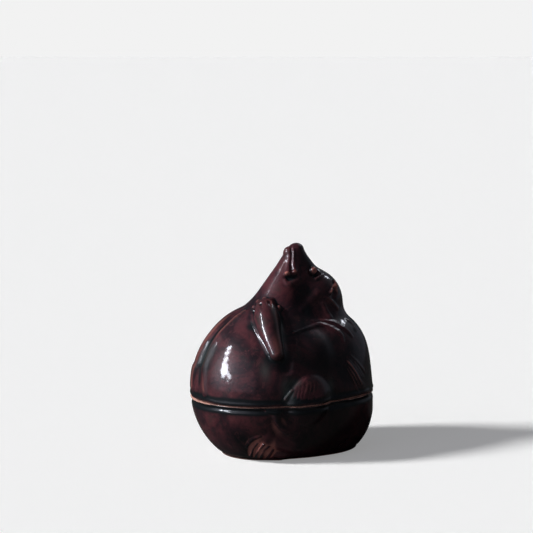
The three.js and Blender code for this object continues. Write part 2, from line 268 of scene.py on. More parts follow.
def model_animal():
    s = Sculpt()
    # The right arm lies over the belly.
    s.join(Limb([(4, 12, 41), (-5, 9.5, 45.5), (-15.5, 6.5, 44), (-23.8, 5, 37.6), (-28.2, 4.4, 30.5),
                 (-29.4, 4.3, 24)], [7, 6.4, 6.2, 5.9, 5.2, 4.4], 8), 1.4)
    # Legs: haunch, knee, instep and the side of the foot.
    s.both_sides(1, Egg((1.2, -18.6, 14), (18.5, 7.2, 13.2)), 1.0)
    s.both_sides(1, Egg((-3.6, -19.4, 22.5), (11.3, 8.3, 11.5)), 0.6)
    s.both_sides(1, Egg((-3.8, -23.4, 22), (8.8, 4.6, 9.4)), 0.6)
    instep = Limb([(-14.6, -19.4, 13.4), (-16.6, -17.4, 9.8), (-16.2, -14.4, 5.6)], [2.6, 3.2, 3.2])
    sole = Limb([(-13.4, -13.6, 3.4), (-9, -16.8, 3.6), (-4.4, -18.4, 4.6)], [2.6, 3, 2.4])
    s.both_sides(1, instep, 0.9)
    s.both_sides(1, sole, 0.9)
    # The tail comes round the left hip.
    s.join(Limb([(29, 4, 6), (28, -7, 11), (25.2, -12.6, 16.6), (20.6, -17, 22.2), (17.2, -19, 28.2),
                 (14.6, -20.6, 33.4)], [4, 4.6, 4.5, 4, 2.8, 1.1], 9), 0.7)
    # The left arm is raised: upper arm, the fold inside the elbow, forearm and paw.
    s.join(Egg((2.4, -10.9, 33.9), (12.2, 12.2, 12.8)), 1.0)
    s.carve(Limb([(-7, -12.5, 50.5), (-7.6, -17.3, 45.8), (-8.6, -21, 40.5), (-10.2, -22.6, 37)],
                 [1, 1.5, 1.7, 1.6]), 1.4)
    s.carve(Egg((-11.8, -23.4, 35.4), (2.6, 1.9, 2.6)), 1.4)
    s.join(Limb([(-14, -19.8, 38.8), (-13.6, -15.4, 44), (-12.2, -10, 49.6), (-10.4, -6.6, 52.6)],
                [2.6, 3.6, 4.4, 4], 18), 0.7)
    for root, tip in (((-12.4, -5.2, 52), (-13.1, -3.4, 53)), ((-11.3, -5.4, 53.3), (-11.6, -3.7, 54.9)),
                      ((-9.9, -6, 53.8), (-9.8, -4.6, 55.7)), ((-8.5, -7.3, 53.6), (-8.2, -6.2, 55.5))):
        s.join(Limb([root, tip], [1.5, 1.15]), 0.35)
    s.join(Egg((-7.4, -9.6, 53.2), (1.1, 1.1, 1.3)), 0.5)

    # Strokes all settle on these limbs, and not on one another.
    s.steps += foot(s) + raised_paw(s) + low_paw(s) + face(s) + shoulder(s) + hair(s)
    return s


def foot(s):
    """Four toes, the paw's curled edge round its hollow, the haunch's edge, the knee's edge and lines."""
    out = []
    for toe in (((-20.2, -17.1, 7.9), (-20.6, -14.6, 5.6), (-19.6, -12.1, 2.5)),
                ((-18.5, -19, 7.5), (-18.9, -16.2, 4.8), (-18, -12.7, 2)),
                ((-16.9, -19.1, 6.6), (-17.8, -17.6, 5), (-16.5, -13.4, 1.7)),
                ((-14.4, -17.8, 5.2), (-14.8, -16.6, 3.4), (-14.8, -15.2, 1.8))):
        out += ridge(s, toe, [0.55, 0.65, 0.7], 0.75, 0.2)
    out += ridge(s, [(-20, -19, 10.7), (-21.8, -16.9, 9.4), (-22.2, -15.5, 7.9), (-22.2, -13.9, 6.2)],
                 [0.6, 0.8, 0.8, 0.6], 0.4, 0.4)
    out += groove(s, [(-20.5, -17.8, 8.9), (-21.3, -15.6, 7), (-20.9, -12.9, 4.4), (-20.2, -11.4, 2.7)],
                  [0.8, 1, 0.9, 0.6], 0.5, 0.3)
    out += ridge(s, [(-15.9, -23.7, 19.3), (-15.9, -23.3, 17.1), (-14.3, -22.9, 14.4), (-11.3, -22.6, 11.8)],
                 [1, 1.4, 1.4, 0.9], 0.5, 1.1)
    out += groove(s, [(-17.6, -22.5, 16.4), (-15.8, -22, 12.9), (-11.9, -21.6, 9.9), (-5.4, -20.9, 6.7)],
                  [1, 1.4, 1.4, 1], 0.55, 1.1)
    out += groove(s, [(-13.4, -24.7, 23), (-12.2, -24.9, 27.2), (-8.6, -24.8, 30.6), (-3.4, -24.3, 32.2),
                      (1.8, -24.4, 31), (5.2, -24.7, 27.6), (6.4, -24.9, 23.6)],
                  [1.3, 1.4, 1.3, 1.1, 1.2, 1.3, 1.2], 0.45, 0.7)
    out += ridge(s, [(-13.2, -25, 24), (-11.4, -26, 27.2)], [0.8, 0.5], 0.5, 0.3)
    for i in range(6):
        x = -9.2 + 1.5 * i
        line = [(x, -27, 28.4 + 0.4 * (i % 3)), (x - 1.8, -28, 24.6 - 0.8 * (i % 2))]
        out += groove(s, line, 0.4, 0.05, 0.35)
    drop = ridge(s, [(-19.2, -22.7, 20), (-16.6, -23.6, 19.6), (-14, -24.4, 19.9)],
                 [0.6, 1.1, 0.6], 0.7, 0.4)
    return on_both_sides(out) + drop


def raised_paw(s):
    """The lines between the toes and the forearm's outer edge."""
    out = []
    for line in (((-14.1, -5, 52.2), (-15.1, -8.6, 50.7)), ((-13.2, -7.8, 54.8), (-13.9, -10.5, 53)),
                 ((-10.5, -8.8, 55.8), (-12, -11.4, 53.6)), ((-7.6, -8.6, 54.7), (-11, -12.8, 52.3))):
        out += groove(s, line, [0.8, 0.5], 0.5, 0.3)
    out += ridge(s, [(-15.2, -5.3, 50.9), (-16.6, -9.3, 48.1), (-17.2, -14.8, 43.3), (-16.8, -18.6, 39.2)],
                 [0.7, 0.8, 0.8, 0.5], 0.3, 0.4)
    return out


def low_paw(s):
    """The crest and the groove along the right arm, and its fingers on the belly."""
    out = ridge(s, [(-15.8, -0.9, 51.4), (-20.4, 0.3, 48), (-25.2, 0.4, 44.2), (-29.1, -0.2, 39.6),
                    (-31.7, -0.5, 34.9)], [1, 2, 2.2, 2.2, 1.4], 0.3, 2)
    out += groove(s, [(-15.7, 2.9, 51.3), (-21, 3.5, 47.7), (-26.7, 2.8, 42.9), (-30.3, 2, 37.9),
                      (-32.5, 1.8, 33.1)], 1.5, 0.4, 1.6)
    out += ridge(s, [(-32.4, -1.1, 32.9), (-33.7, -4.1, 24.3)], [1.7, 1], 0.2, 1.2)
    for i in range(3):
        y = 3 * i + 1.6
        out += ridge(s, [(-32.4, y, 32), (-33.5, 1.06 * y - 0.2, 25.4)], [1.6, 1.2], 0.2, 1.1)
    return out


def face(s):
    """The nose and chin, the open mouth, the eyes, the ears and the folds behind them."""
    out = [(1, Egg((5.9, -0.3, 72.7), (2.1, 1.7, 1.5)), 1.2),
           (1, Egg((2.7, -0.3, 71.4), (1.7, 1.7, 1.9)), 1.0)]
    out += mouth(s)
    out += eye(s)
    out += ear(s)
    nubs = [(1, Egg((-0.7, -4.8, 64.7), (1.1, 0.9, 0.8)), 0.5),
            (1, Egg((2.3, -5.1, 65.2), (0.8, 0.7, 0.8)), 0.5)]
    return on_both_sides(out) + nubs


def mouth(s):
    """A lip on each side of the slit, the hollow at its corner, and the edge of the jaw under it."""
    out = ridge(s, [(3.5, -2, 72.9), (2.6, -3.5, 69.1), (2.5, -4.8, 66.4), (1.9, -5.4, 64.7)],
                [0.7, 0.8, 0.9, 1], 0.35, 0.5)
    out += ridge(s, [(2.2, -1, 71.8), (1, -3, 68.5), (-0.1, -4.2, 65.8), (-0.6, -4.8, 64.5)],
                 [0.8, 0.9, 1, 1.1], 0.15, 0.6)
    out += groove(s, [(3.5, -0.7, 73.6), (2.5, -2.6, 70.5), (1.3, -3.9, 67.5), (1.2, -4.8, 65.8)],
                  [0.4, 0.45, 0.5, 0.6], 0.4, 0.35)
    out += groove(s, [(-0.8, -5.7, 62.9), (2, -6, 63.5)], [1.7, 1.5], 0.6, 1.2)
    out += ridge(s, [(-2, -5.4, 62.5), (-0.7, -6.7, 61.1), (3.8, -6.1, 62.5), (6.7, -5.4, 64)],
                 [0.3, 1, 1.1, 0.7], 0.3, 1.0)
    return out


def eye(s):
    """The socket, the ball with its pupil, and the lower lid."""
    socket = Egg((10.2, -6, 65), (2.6, 1.8, 2.4))
    ball = Egg((10.2, -4.5, 65.1), (1.45, 1.5, 1.45))
    pupil = Egg((10, -6.2, 65.1), (0.6, 0.6, 0.6))
    eyelid = ridge(s, [(10, -7, 62.2), (12, -6.3, 62.8), (13.9, -5.3, 63.5)], [0.5, 0.6, 0.5], 0.4, 0.4)
    return [(-1, socket, 0.9), (1, ball, 0.3), (-1, pupil, 0.2)] + eyelid


def ear(s):
    """The folded ear, the hollow under it, and three folds of skin down the neck."""
    out = ridge(s, [(17.9, -6.4, 60.5), (17.7, -7.5, 59.2), (14.5, -9.5, 57.3)], [0.8, 1.0, 0.8], 1.0, 0.4)
    out += groove(s, [(16.8, -8.9, 57.6), (15.4, -9.8, 55.6)], [1.5, 1.3], 1.1, 0.6)
    out += ridge(s, [(13, -10.2, 55.5), (15.5, -10.2, 53.2), (17.1, -9.9, 51.5)], 0.8, 0.35, 0.6)
    out += ridge(s, [(10.8, -10.4, 53.9), (11.6, -11.2, 51.4), (12.8, -12, 48.9)], 0.9, 0.35, 0.7)
    out += ridge(s, [(9.3, -9.4, 57.5), (6, -10, 55), (2.3, -10.7, 52.1)], 1.6, 0.15, 1.2)
    return out


def shoulder(s):
    """Rolls of the loose skin above the left upper arm."""
    out = ridge(s, [(-5.2, -16.4, 45.3), (-0.8, -15.8, 45.9), (3.4, -15, 46.5), (6.8, -14.3, 47),
                    (9.7, -14.9, 46.3), (12, -16, 45), (14.2, -17.2, 43), (14.3, -18.4, 41)],
                [0.15, 0.5, 0.9, 1, 1, 1, 0.8, 0.3], 0.45, 0.6)
    out += ridge(s, [(4.4, -13.4, 48.2), (8.7, -13.1, 47.9), (12.2, -13.5, 47.3), (14.7, -14.4, 46.2),
                     (17.8, -15.5, 43.9), (19.4, -16.4, 41.7)], [0.3, 0.8, 1, 1, 0.9, 0.3], 0.5, 0.6)
    out += ridge(s, [(20.8, -10.8, 47), (22.6, -11.4, 45.5), (22.6, -13.2, 43.5)], 0.9, 0.3, 0.8)
    return out


def hair(s):
    """Strands at the tip of the tail."""
    out = []
    for i in range(6):
        down = 0.55 * i
        root = (16.2 - 0.7 * i, -19.9 - 0.35 * i, 35.8 - down)
        middle = (19.6 - 0.8 * i, -19.5 - 0.5 * i, 32.6 - 1.5 * down)
        tip = (23.2 - 1.1 * i, -18.3 - 0.6 * i, 28.6 - 1.6 * down - 0.8 * (i % 2))
        out += ridge(s, [root, middle, tip], [0.3, 0.55, 0.35], 0.3, 0.3)
    return out


# Meshes from rays

def columns(count, density):
    """Angles round a ring, closer together on the left side by a share."""
    even = 2 * np.pi * np.arange(count) / count
    return even - density * np.sin(even - LEFT_SIDE)


def spine(height):
    """Where the rays of rings at some heights start."""
    low = SPINE_FOOT * (1 - np.minimum(height / FORM_SEAM, 1))
    t = np.clip((height - FORM_SEAM) / SPINE_RISE, 0, 1)
    return np.stack([low + SPINE_LEAN * t * t * (3 - 2 * t), np.zeros_like(height), height], -1)


def ray_directions(elevation, angles):
    elevation = np.asarray(elevation)[:, None]
    return np.stack([np.cos(angles) * np.cos(elevation), np.sin(angles) * np.cos(elevation),
                     np.sin(elevation) + 0 * angles], -1)


def last_edge(distance, origins, directions, start):
    """How far along each ray, coming from outside, the form begins."""
    t = np.array(start, float)
    live = np.arange(len(t))
    for _ in range(RAY_STEPS):
        d = distance(origins[live] + t[live, None] * directions[live])
        t[live] = np.maximum(t[live] - np.clip(STEP_SHARE * d, -LONGEST_BACK, LONGEST_ON), 0)
        live = live[np.abs(d) > CLOSE_ENOUGH]
        if not len(live):
            break
    return t


def smoothstep(x, low, high):
    t = np.clip((np.asarray(x, float) - low) / (high - low), 0, 1)
    return t * t * (3 - 2 * t)


def dome_rays(t, low, high):
    """Origins and elevations of rings from a level lower edge (t = 0) to nearly straight up (t = 1)."""
    early_lift = 35 * smoothstep(t, 0, 0.4)
    late_lift = 55 * smoothstep(t, 0.72, 1.02)
    return spine(low + (high - low) * t), np.radians(early_lift + late_lift)


def ring_points(distance, origins, elevation, angles, start_from=None):
    """Rows by columns of points where rings of rays leave a form. A simpler form can bring the rays near."""
    directions = ray_directions(elevation, angles)
    rows, cols = directions.shape[:2]
    o = np.repeat(origins[:, None, :], cols, 1).reshape(-1, 3)
    u = directions.reshape(-1, 3)
    first = last_edge(start_from or distance, o, u, np.full(len(o), REACH))
    if start_from:
        first = last_edge(distance, o, u, first + NEAR)
    return (o + first[:, None] * u).reshape(rows, cols, 3)


def even_rows(distance, low, high, count, angles):
    """Ring parameters that put the rows of a dome at even distances over its surface."""
    t = np.linspace(0, 1, TRIAL_ROWS, endpoint=False)
    origins, lift = dome_rays(t, low, high)
    p = ring_points(distance, origins, lift, angles[:: len(angles) // TRIAL_COLUMNS])
    steps = np.linalg.norm(np.diff(p, axis=0), axis=2).mean(1)
    travelled = np.concatenate([[0], np.cumsum(steps)])
    return np.interp(np.linspace(0, travelled[-1], count), travelled, t)


def grid_normals(p):
    """The way out at each point of a grid of rows and columns."""
    across = np.roll(p, -1, 1) - np.roll(p, 1, 1)
    up = np.gradient(p, axis=0)
    n = np.cross(across, up)
    return n / (np.linalg.norm(n, axis=2, keepdims=True) + 1e-12)


def blurred(values, size):
    """A soft average over neighbouring rows and columns."""
    reach = int(np.ceil(2.5 * size))
    k = np.exp(-0.5 * (np.arange(-reach, reach + 1) / size) ** 2)
    k /= k.sum()
    out = sum(w * np.roll(values, i, 1) for w, i in zip(k, range(-reach, reach + 1)))
    padded = np.concatenate([out[:1].repeat(reach, 0), out, out[-1:].repeat(reach, 0)], 0)
    return sum(w * padded[i:i + len(out)] for w, i in zip(k, range(2 * reach + 1)))


def curvature(p, size):
    """Positive on ridges, negative in hollows, in the form's units."""
    n = grid_normals(p)
    return ((p - blurred(p, size)) * n).sum(2)


def lumps(p, size, seed):
    """Smooth unevenness between about -1 and 1 with features of about that size."""
    waves = 14
    rng = np.random.default_rng(seed)
    out = np.zeros(p.shape[:-1])
    for _ in range(waves):
        k = rng.normal(size=3)
        k *= 2 * np.pi / size * rng.uniform(0.5, 1.3) / np.linalg.norm(k)
        out += np.cos(p @ k + rng.uniform(0, 2 * np.pi))
    return out / np.sqrt(waves / 2) / 1.6


# The clay edges at the seam and the foot

# How wide the bare clay shows beside the seam, by degrees round the figure.
CLAY_WIDTHS = (
    (-210, 0.36), (-194, 0.42), (-172, 0.34), (-165, 0.04), (-130, 0.03), (-124, 0.12), (-80, 0.16),
    (-75, 0.02), (-66, 0.02), (-60, 0.20), (-44, 0.20), (0, 0.18), (60, 0.2), (150, 0.36),
)
CLAY_WANDER = 0.05
FOOT_CLAY = 0.16
FOOT_WANDER = 0.08
CLAY_FADE = 0.12
GLAZE_DEPTH = 0.10
GLAZE_FADE = 0.3
ROLL_AWAY = 1.4  # a roll's distance from the clay, as a share of its width

# The rolls that the glaze ran into: how far each stands out, and how wide it is.
LID_ROLL = (0.16, 0.6)
BOX_ROLL = (0.48, 0.8)
FOOT_ROLL = (0.18, 0.5)


def clay_width(angle):
    first = CLAY_WIDTHS[0][0]
    degrees = (np.degrees(angle) - first) % 360 + first
    return np.interp(degrees, *np.transpose(CLAY_WIDTHS))


def clay_share(height, width):
    """1 on bare clay of that width beside an edge, and 0 on the glaze."""
    return 1 - smoothstep(height, width, width + CLAY_FADE)


def glaze_edge(height, width, roll):
    """How far glaze stands out from the form at a height from a bare edge of that width."""
    stands_out, spread = roll
    rolled = stands_out * np.exp(-(((height - width - ROLL_AWAY * spread) / spread) ** 2))
    return GLAZE_DEPTH * (smoothstep(height, width, width + GLAZE_FADE) - 1) + rolled


# The lid and the box, as rows of points

sculpt = model_animal()


def seam_radius(inset, angles):
    """The smooth body's outline at the seam, drawn in, as points."""
    def section(p):
        flat = p.copy()
        flat[:, 2] = FORM_SEAM
        return smooth_body(flat) + inset
    return ring_points(section, np.array([[0.0, 0.0, FORM_SEAM]]), [0.0], angles)[0]


def ring(points, height, inward=0.0):
    """A row of points moved to a height, and towards the middle by a distance."""
    flat = points * (1, 1, 0)
    out = points - flat / np.linalg.norm(flat, axis=-1, keepdims=True) * inward
    out[..., 2] = height
    return out[None]


def top_point(distance, height, start_from=None):
    """Where a ray straight up from the spine leaves a form."""
    return ring_points(distance, spine(np.array([height])), [np.pi / 2], np.zeros(1), start_from)[0, 0]


def lid_hollow(p):
    return smooth_body(p) + LID_WALL


def box_well(p):
    """Distance from the well's clay: the body drawn in, straight up above the seam, and a floor."""
    held = p.copy()
    held[:, 2] = np.minimum(held[:, 2], FORM_SEAM)
    return -soft_min(-(smooth_body(held) + BOX_WALL), p[:, 2] - FLOOR, WELL_CORNER)


def lid_outside(angles, bottom):
    """Rows from the seam up to the snout, where they are bare clay, and the snout's tip."""
    t = even_rows(smooth_body, bottom, SNOUT_RING, LID_ROWS, angles)
    origins, lift = dome_rays(t, bottom, SNOUT_RING)
    outer = ring_points(sculpt.distance, origins, lift, angles, smooth_body)
    height = outer[..., 2] - bottom
    wide = clay_width(angles)[None, :] + CLAY_WANDER * lumps(outer, size=5, seed=3)
    clay = clay_share(height, wide)
    outer = outer + grid_normals(outer) * glaze_edge(height, wide, LID_ROLL)[..., None]
    return outer, clay, top_point(sculpt.distance, SNOUT_RING, smooth_body)


def lid_rows():
    """Rows of points over the lid, from inside its hollow round its mouth and up to the snout's tip."""
    angles = columns(LID_COLUMNS, LEFT_SIDE_DENSITY)
    bottom = FORM_SEAM + GAP_SHOWN / 2
    outer, clay, top = lid_outside(angles, bottom)
    ledge = FORM_SEAM + RIM_HEIGHT + HEADROOM
    t = np.linspace((ledge - bottom) / (HOLLOW_RING - bottom), 1, INSIDE_ROWS, endpoint=False)
    origins, lift = dome_rays(t, bottom, HOLLOW_RING)
    lift = lift - lift[0]
    lift = lift / lift[-1] * np.radians(HOLLOW_LIFT)
    hollow = ring_points(lid_hollow, origins, lift, angles)
    mouth_edge = seam_radius(MOUTH_WALL, angles)
    edge = outer[0]
    first = FIRST_SHARE * EDGE_ROUND
    inside = np.concatenate([
        hollow[::-1],
        ring(mouth_edge, ledge),
        ring(mouth_edge, bottom + EDGE_ROUND),
        ring(mouth_edge, bottom, -EDGE_ROUND),
        ring(edge, bottom, EDGE_ROUND),
        ring(edge, bottom + first, first),
    ])
    outer[0, :, 2] = bottom + EDGE_ROUND
    return inside, outer, clay, top_point(lid_hollow, HOLLOW_RING), top


def box_outside(angles, top):
    """Rows from the seam down to the foot, and where they are bare clay."""
    heights = np.concatenate([[top], np.linspace(top - EDGE_ROUND, FOOT_ROUND, BOX_ROWS)])
    outer = ring_points(sculpt.distance, spine(heights), np.zeros(len(heights)), angles, smooth_body)
    below = top - outer[..., 2]
    above = outer[..., 2]
    wide = clay_width(angles)[None, :] + CLAY_WANDER * lumps(outer, size=5, seed=4)
    foot_wide = FOOT_CLAY + FOOT_WANDER * lumps(outer, size=9, seed=5)
    clay = np.maximum(clay_share(below, wide), clay_share(above, foot_wide))
    push = glaze_edge(below, wide, BOX_ROLL) + glaze_edge(above, foot_wide, FOOT_ROLL)
    outer = outer + grid_normals(outer) * push[..., None]
    outer[0] = ring(outer[1], top, EDGE_ROUND)[0]
    return outer, clay


def box_underside(foot):
    """Rows round the foot's edge and in towards the middle of the flat base."""
    first = FIRST_SHARE * FOOT_ROUND
    rim = ring(foot, 0, FOOT_ROUND)
    middle = np.array(BASE_MIDDLE)
    rows = [ring(foot, first, first), rim]
    for share in (0.66, 0.33):
        rows.append(middle + (rim - middle) * share)
    return np.concatenate(rows)


def box_rows():
    """Rows over the box, from inside its well over its rim and seat, down its outside and under its base."""
    angles = columns(BOX_COLUMNS, LEFT_SIDE_DENSITY)
    top = FORM_SEAM - GAP_SHOWN / 2
    outer, clay = box_outside(angles, top)
    centre = np.array([WELL_MIDDLE])
    slant = -np.pi / 2 * np.linspace(0.97, 0, INSIDE_ROWS)  # from nearly straight down to level
    bowl = ring_points(box_well, np.repeat(centre, INSIDE_ROWS, 0), slant, angles)
    well_bottom = ring_points(box_well, centre, [-np.pi / 2], angles[:1])[0, 0]
    rim_top = FORM_SEAM + RIM_HEIGHT
    rim_out = seam_radius(MOUTH_WALL + RIM_CLEARANCE, angles)
    rim_in = seam_radius(BOX_WALL, angles)
    inside = np.concatenate([
        bowl,
        ring(rim_in, rim_top - EDGE_ROUND),
        ring(rim_in, rim_top, -EDGE_ROUND),
        ring(rim_out, rim_top, EDGE_ROUND),
        ring(rim_out, rim_top - EDGE_ROUND),
        ring(rim_out, top + SEAT_ROUND),
        ring(rim_out, top, -SEAT_ROUND),
    ])
    return inside, outer, box_underside(outer[-1]), clay, well_bottom


# To Blender

def piece(name, node, rows, first, last, layers):
    """A closed mesh through rows of points, with a point that closes each end and per-vertex layers."""
    count, cols = rows.shape[:2]
    points = np.concatenate([[first], rows.reshape(-1, 3), [last]]) * unit + shift
    at = 1 + np.arange(count * cols).reshape(count, cols)
    beside = np.roll(at, -1, 1)
    quads = np.stack([at[:-1], beside[:-1], beside[1:], at[1:]], -1).reshape(-1, 4)
    low_fan = np.stack([np.zeros(cols, int), beside[0], at[0]], -1)
    high_fan = np.stack([np.full(cols, len(points) - 1), at[-1], beside[-1]], -1)
    mesh = bpy.data.meshes.new(name)
    mesh.from_pydata(points.tolist(), [], quads.tolist() + low_fan.tolist() + high_fan.tolist())
    for layer_name, values in layers.items():
        flat = np.concatenate([[values[0, 0]], values.reshape(-1), [values[-1, 0]]])
        attribute = mesh.attributes.new(layer_name, "FLOAT", "POINT")
        attribute.data.foreach_set("value", flat.astype(np.float32))
    mesh.polygons.foreach_set("use_smooth", [True] * len(mesh.polygons))
    if last[2] < first[2]:
        mesh.flip_normals()  # rows that end below where they start wind the other way
    mesh.update()
    mesh.validate()
    shown = bpy.data.objects.new(name, mesh)
    bpy.context.scene.collection.objects.link(shown)
    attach(shown, "root")
    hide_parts(node)
    return shown


lid_inside, lid_outer, lid_clay, lid_hollow_top, lid_top = lid_rows()
box_inside, box_outer, box_under, box_clay, well_bottom = box_rows()

# The form's unit in metres, from the lid's lower edge, and the way from the form's middle to the frame's.
form_points = np.concatenate([lid_outer.reshape(-1, 3), box_outer.reshape(-1, 3)])
unit = (lid_low.z - box_low.z) / (FORM_SEAM + SEAM_GAP / 2)
middle = (form_points.min(0) + form_points.max(0)) / 2 * unit
middle_x = (cad_low.x + cad_high.x) / 2
middle_y = (cad_low.y + cad_high.y) / 2
shift = np.array([middle_x - middle[0], middle_y - middle[1], box_low.z])


# Where the glaze ran together or thinned away, with painted light on the toes: a place, how far it reaches
# along x, y and z, and how much.
# The three after it are written the same way.
POOLS_AND_TOE_LIGHT = (
    ((-17.5, -19.5, 35.5), (2.2, 3, 4.5), 0.9),
    ((-18.5, -9, 47.5), (1.6, 2.2, 2), 0.9),
    ((-13.5, -21.5, 36.9), (2.6, 3, 3), 1.0),
    ((-11, -26, 25), (3, 3, 4), 0.6),
    ((4.3, -10.1, 52.6), (2.6, 3, 2.2), 0.8),
    ((0.5, -6, 62.8), (2.4, 2, 1.5), 0.8),
    ((8, -9.5, 60), (4, 3, 3.5), 0.5),
    ((20, -14, 38), (6, 6, 8), 0.6),
    ((-28, -14, 22.5), (9, 9, 2.2), 0.6),
    ((-1.5, -12.8, 49.8), (3.2, 2.5, 2), -0.5),
    ((3, -18.5, 41), (4, 4, 3), -0.35),
    ((10.2, -5.8, 65.1), (1.5, 1.4, 1.5), -1.7),
    ((17.2, -7.8, 59.2), (2, 2.2, 1.8), -1.3),
    # painted light: the toes lie in shade, and this makes their crests paler
    ((-18, -16.5, 5.5), (4.5, 5, 5), -1.8),
    ((-29, 0, 34), (7, 6, 12), 0.7),
    ((-9, -25, 29), (4, 3, 4), 0.35),
    ((3.4, -2.5, 70), (1.2, 2.5, 3), -0.3),
    ((-14.5, -23, 15.5), (3, 3, 5), -0.6),
    ((-4.5, -27, 28), (5, 3, 4), -0.35),
    ((15.5, -22, 31), (4, 4, 5), -0.35),
    ((-10.8, -5.4, 54.4), (4.5, 4.5, 2.4), 0.45),
    ((-12.6, -12, 48), (3, 8, 8), 0.45),
    ((9.4, -6.6, 64), (3.4, 2.6, 3), 0.8),
    ((-0.7, -5.4, 64.8), (1.4, 1.2, 1), -0.45),
    ((2.4, -5.8, 65.2), (1.1, 1, 1), -0.35),
)

# Where thick glaze turned a milky grey green, and where the same grey green beside the knee is a painted
# reflection of the window.
MILKY_AND_REFLECTION = (
    ((-12.6, -24.8, 26.6), (1.8, 3, 3.6), 0.9),
    ((-9.6, -24.9, 29.6), (2.2, 3, 1.4), 0.5),
    ((5.4, -24.6, 27), (1.4, 3, 2.4), 0.5),
    ((-19, -20.6, 33.4), (1.6, 2.5, 3.4), 0.5),
    ((-8.5, -16, 45), (1.6, 2.5, 4), 0.2),
    ((-30.5, 0, 38), (2.5, 3, 7), 0.35),
)

# Where the surface is more satin than glossy.
SATIN = (
    ((-5, -3, 60.5), (8, 9, 6), 1.0),
    ((0, -9, 53), (7, 5, 5), 0.5),
    ((-30, 3, 36), (7, 7, 11), 0.75),
    ((-33, -3, 29), (3, 3.5, 5), 0.6),
)

# Painted shade where the figure turns away from the key light, faces down or sinks into a recess, together
# with glaze that fired nearly black; a negative share takes it away.
SHADE_AND_BLACK_GLAZE = (
    ((2, -22, 35), (10, 8, 8), 1.0),
    ((8, -24, 14), (12, 8, 14), 0.9),
    ((-4.5, -27, 28), (6, 5, 4.5), -1.4),
    ((4, -26, 22.5), (5, 4, 4), 0.7),
    ((20, -16, 36), (8, 8, 8), 0.5),
    ((4, -8, 60), (4, 4, 3.5), 0.5),
    ((9, -3, 68), (3, 3, 5), 0.7),
    ((-13, -22, 36.6), (3, 3, 3), 0.8),
    ((9, -9, 56), (7, 4, 4), 0.4),
    ((-14, -18, 21), (5, 6, 4), 0.6),
    ((-31.5, -1.5, 34), (4, 5, 8), 0.8),
    ((-14, -12, 33), (4, 10, 8), 0.35),
    ((-22, -12, 10), (10, 10, 8), 0.3),
    ((-11.5, -12, 48), (2.5, 6, 6), 0.5),
    ((-2, -20, 8), (8, 8, 8), 0.6),
)


def spots(places, outer):
    """How strongly each point lies in some of these places."""
    total = np.zeros(outer.shape[:2])
    for centre, reach, share in places:
        total += share * np.exp(-(((outer - centre) / reach) ** 2).sum(2))
    return total


# How the shape sorts the glaze into thick and thin, in the form's units.
FINE_SIZE = 1.6
FINE_FULL = 0.22  # the depth of a fine hollow that is full of glaze
BROAD_SIZE = 5
BROAD_FULL = 2.4
SEAM_POOL = 1.2
SEAM_POOL_AWAY = 1.6  # from the seam
SEAM_POOL_WIDTH = 1.5
THICKEST = 1.2
THINNEST = 1.5


def layers_for(outer, clay, from_seam, before, after):
    """A piece's layers, with bare clay in the rows before and after its outside."""
    fine = curvature(outer, FINE_SIZE) / FINE_FULL
    broad = curvature(outer, BROAD_SIZE) / BROAD_FULL
    beside_seam = np.exp(-(((from_seam - SEAM_POOL_AWAY) / SEAM_POOL_WIDTH) ** 2))
    # Thin glaze shows paler, and on the toes that is also painted light.
    thickness_and_toe_light = np.clip(-(fine + broad), -1, 1) + SEAM_POOL * beside_seam + spots(POOLS_AND_TOE_LIGHT, outer)
    layers = {
        # painted shade, with glaze that fired nearly black
        "shade_and_black_glaze": np.clip(spots(SHADE_AND_BLACK_GLAZE, outer), 0, 1),
        "milky_and_reflection": np.clip(spots(MILKY_AND_REFLECTION, outer), 0, 1),
        # milky glaze, and beside the knee a painted reflection of the window
        "satin": np.clip(spots(SATIN, outer), 0, 1),
        "clay": clay,
        "deep": np.clip(thickness_and_toe_light, 0, THICKEST),
        "thin_and_toe_light": np.clip(-thickness_and_toe_light, 0, THINNEST),
    }
    around = ((before, after), (0, 0))
    return {name: np.pad(layers[name], around, constant_values=float(name == "clay")) for name in layers}


lid_layers = layers_for(lid_outer, lid_clay, lid_outer[..., 2] - FORM_SEAM, len(lid_inside), 0)
lid_all = np.concatenate([lid_inside, lid_outer])
lid = piece("animal_lid", "lid", lid_all, lid_hollow_top, lid_top, lid_layers)

box_layers = layers_for(box_outer, box_clay, FORM_SEAM - box_outer[..., 2], len(box_inside), len(box_under))
box_all = np.concatenate([box_inside, box_outer, box_under])
box = piece("animal_box", "box", box_all, well_bottom, BASE_MIDDLE, box_layers)


# Shader nodes. A share or a tone is an output of a node, or a plain value.

def node(tree, kind, **values):
    made = tree.nodes.new(kind)
    for key, value in values.items():
        setattr(made, key, value)
    return made


def feed(tree, value, socket):
    """Links an output to an input, or sets the input to a plain value."""
    if isinstance(value, bpy.types.NodeSocket):
        tree.links.new(value, socket)
    else:
        socket.default_value = value


def colour(r, g, b):
    """A display colour, 0 to 255, as linear light."""
    c = np.array([r, g, b]) / 255
    linear = np.where(c < 0.04045, c / 12.92, ((c + 0.055) / 1.055) ** 2.4)
    return (*linear, 1.0)


def layer(tree, name):
    return node(tree, "ShaderNodeAttribute", attribute_name=name).outputs["Fac"]


def noise(tree, scale, detail, rough, distortion):
    made = node(tree, "ShaderNodeTexNoise")
    made.inputs["Scale"].default_value = scale
    made.inputs["Detail"].default_value = detail
    made.inputs["Roughness"].default_value = rough
    made.inputs["Distortion"].default_value = distortion
    feed(tree, node(tree, "ShaderNodeTexCoord").outputs["Object"], made.inputs["Vector"])
    return made.outputs["Fac"]


